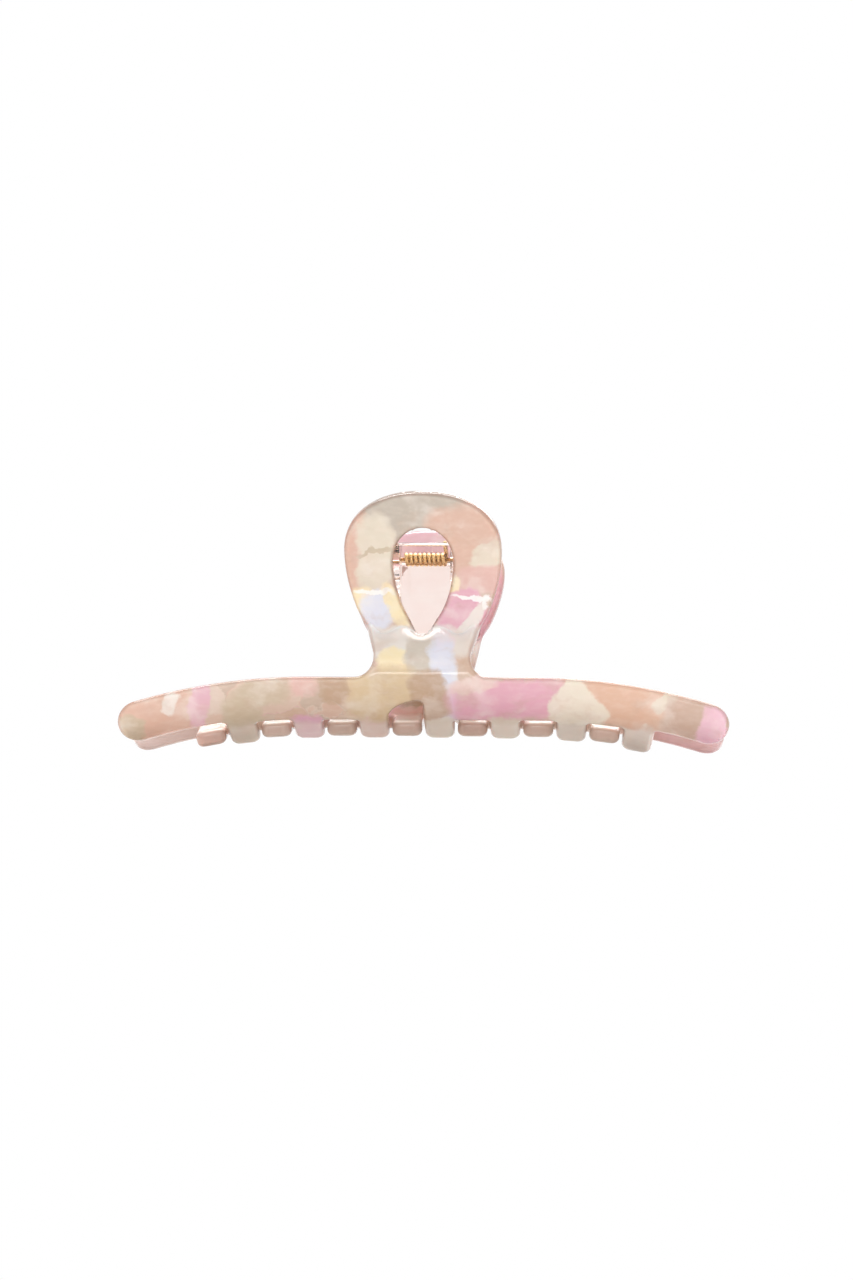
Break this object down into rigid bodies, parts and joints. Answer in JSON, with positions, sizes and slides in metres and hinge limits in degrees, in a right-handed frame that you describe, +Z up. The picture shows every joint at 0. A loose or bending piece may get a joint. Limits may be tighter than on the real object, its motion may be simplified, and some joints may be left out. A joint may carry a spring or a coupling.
{
  "type": "hair claw clip",
  "caption": "Long spring-loaded hair claw clip with two curved toothed jaws, teardrop loop handles and a pinned hinge with a torsion spring.",
  "frame": {"origin": "midway between the jaws and between the clip's ends, level with its lowest teeth", "axes": "+Z up towards the finger loops, X along the clip's length, -Y towards the front jaw"},
  "size_m": [0.13, 0.043, 0.0537],
  "materials": {
    "pearl_acetate": "polished, mottled pearl",
    "clear_acetate": "polished, clear",
    "gold_wire": "polished, gold plated"
  },
  "bodies": {
    "rear_half": {"rear_jaw": "pearl_acetate", "rear_hinge_plate": "clear_acetate", "rear_inner_lug": "clear_acetate", "rear_outer_lug": "clear_acetate", "hinge_pin": "gold_wire", "torsion_spring": "gold_wire"},
    "front_half": {"front_jaw": "pearl_acetate", "front_hinge_plate": "clear_acetate", "front_inner_lug": "clear_acetate", "front_outer_lug": "clear_acetate"}
  },
  "joints": [
    {"name": "jaw_hinge", "type": "hinge", "parent": "rear_half", "child": "front_half", "pos_m": [0, 0, 0.04292], "axis": [-1, 0, 0], "range_deg": [0, 60], "stiffness_Nm_per_rad": 0.15, "springref_deg": -45.84, "deforming": ["torsion_spring"]}
  ]
}
